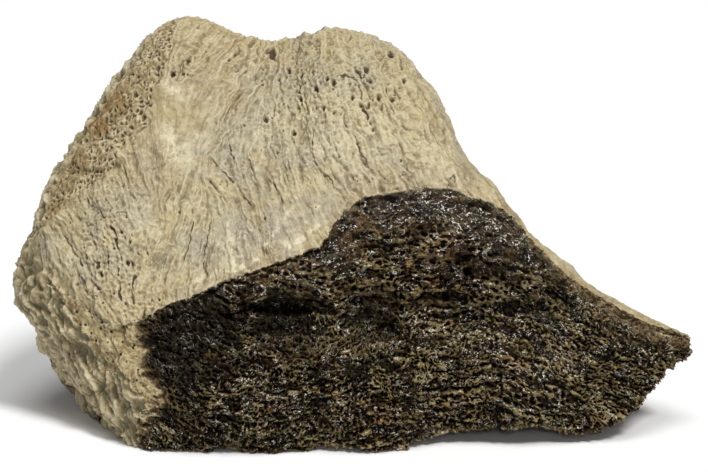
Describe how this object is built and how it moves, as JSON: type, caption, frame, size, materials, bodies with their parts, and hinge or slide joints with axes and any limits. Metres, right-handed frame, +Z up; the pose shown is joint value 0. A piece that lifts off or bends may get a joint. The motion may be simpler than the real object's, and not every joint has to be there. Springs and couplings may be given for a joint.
{
  "type": "fossil dinosaur vertebra",
  "caption": "Broken piece of a fossil vertebra's drum-shaped body: fibrous outer bone over a dark spongy break, a knobby end plate at one side and a tapering wing at the other.",
  "frame": {"origin": "middle of the footprint box, on the surface the piece stands on", "axes": "+X runs along the longest extent towards the wing's tip, -Y faces the dark spongy break, +Z is up"},
  "size_m": [0.1532, 0.0766, 0.0892],
  "materials": {
    "fossil_bone": "matte"
  },
  "bodies": {
    "root": {"vertebra": "fossil_bone"}
  },
  "joints": []
}
